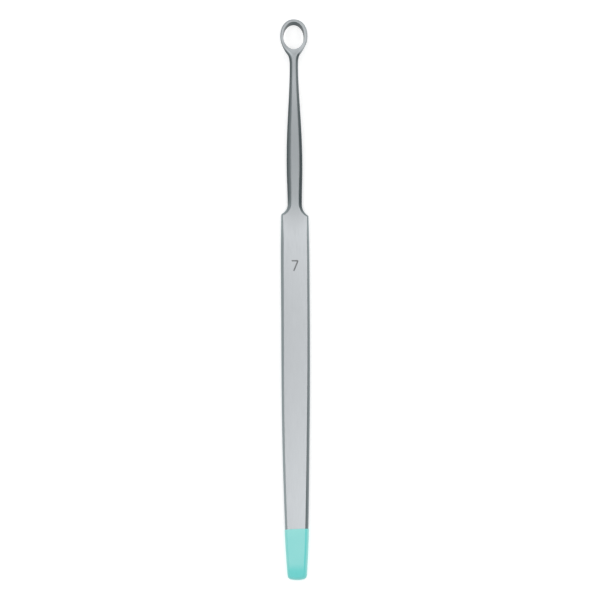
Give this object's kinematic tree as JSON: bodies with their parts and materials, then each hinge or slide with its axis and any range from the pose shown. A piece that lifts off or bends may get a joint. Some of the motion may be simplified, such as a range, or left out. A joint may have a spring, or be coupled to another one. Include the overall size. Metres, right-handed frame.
{
  "type": "dermal curette",
  "caption": "Ring curette for skin work: flat bevelled steel handle with a colour-coated end, slender rising shank and an oval loop with one sharp edge, bent back from the neck.",
  "frame": {"origin": "centre of the bounding box in X and Y, at the lowest level, on the surface that the instrument lies on", "axes": "+X across the handle to the right seen from the front, +Y along the instrument from the coated end to the loop, +Z out of the front face"},
  "size_m": [0.0074, 0.1452, 0.005],
  "materials": {
    "steel": "fine satin grain along the length, brighter worn edges",
    "colour_coat": "smooth turquoise coat with a soft gloss"
  },
  "bodies": {
    "root": {"curette_body": "steel", "end_coat": "colour_coat"}
  },
  "joints": []
}
